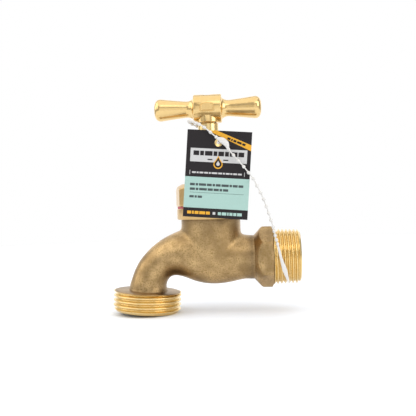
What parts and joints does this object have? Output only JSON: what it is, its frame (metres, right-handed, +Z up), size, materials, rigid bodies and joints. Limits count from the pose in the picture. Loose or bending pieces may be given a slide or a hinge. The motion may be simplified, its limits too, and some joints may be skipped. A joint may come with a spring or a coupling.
{
  "type": "hose bib",
  "caption": "Quarter-turn hose tap in rough cast brass: taper threaded inlet with hexagon, curved spout with hose thread, hexagon bonnet, tee handle and hanging tag.",
  "frame": {"origin": "on the inlet axis, in the plane where the inlet thread meets its hexagon", "axes": "+X along the inlet axis, out of the inlet thread and into the wall; +Z up along the spindle; -Y is the side that the tag hangs on"},
  "size_m": [0.0921, 0.0416, 0.1064],
  "materials": {
    "rough_brass": "as cast and tumbled, dull",
    "machined_brass": "turned, bright",
    "polished_brass": "polished",
    "steel": "zinc plated",
    "fibre": "pressed red fibre",
    "rubber": "moulded",
    "ceramic": "lapped alumina",
    "acetal": "moulded",
    "card": "printed, satin",
    "nylon": "moulded, translucent white"
  },
  "bodies": {
    "root": {"body_casting": "rough_brass", "bonnet": "machined_brass", "bonnet_washer": "fibre", "seat_seal": "rubber", "fixed_disc": "ceramic", "tie_head": "nylon", "tie_loop": "nylon", "tie_tail": "nylon", "tie_needle": "nylon"},
    "spindle": {"spindle": "machined_brass", "spindle_o_ring_lower": "rubber", "spindle_o_ring_upper": "rubber", "thrust_washer": "acetal", "stop_ring": "machined_brass", "retaining_ring": "steel", "disc_carrier": "acetal", "turning_disc": "ceramic", "tee_handle": "polished_brass", "handle_screw": "steel", "handle_screw_washer": "steel"},
    "tag": {"swing_tag": "card"}
  },
  "joints": [
    {"name": "handle_turn", "type": "hinge", "parent": "root", "child": "spindle", "pos_m": [-0.0301, 0, 0.0731], "axis": [0, 0, 1], "range_deg": [-90, 0]},
    {"name": "tag_swing", "type": "hinge", "parent": "root", "child": "tag", "pos_m": [-0.0244, -0.02, 0.0542], "axis": [0, 1, 0], "range_deg": [-12, 8]}
  ]
}
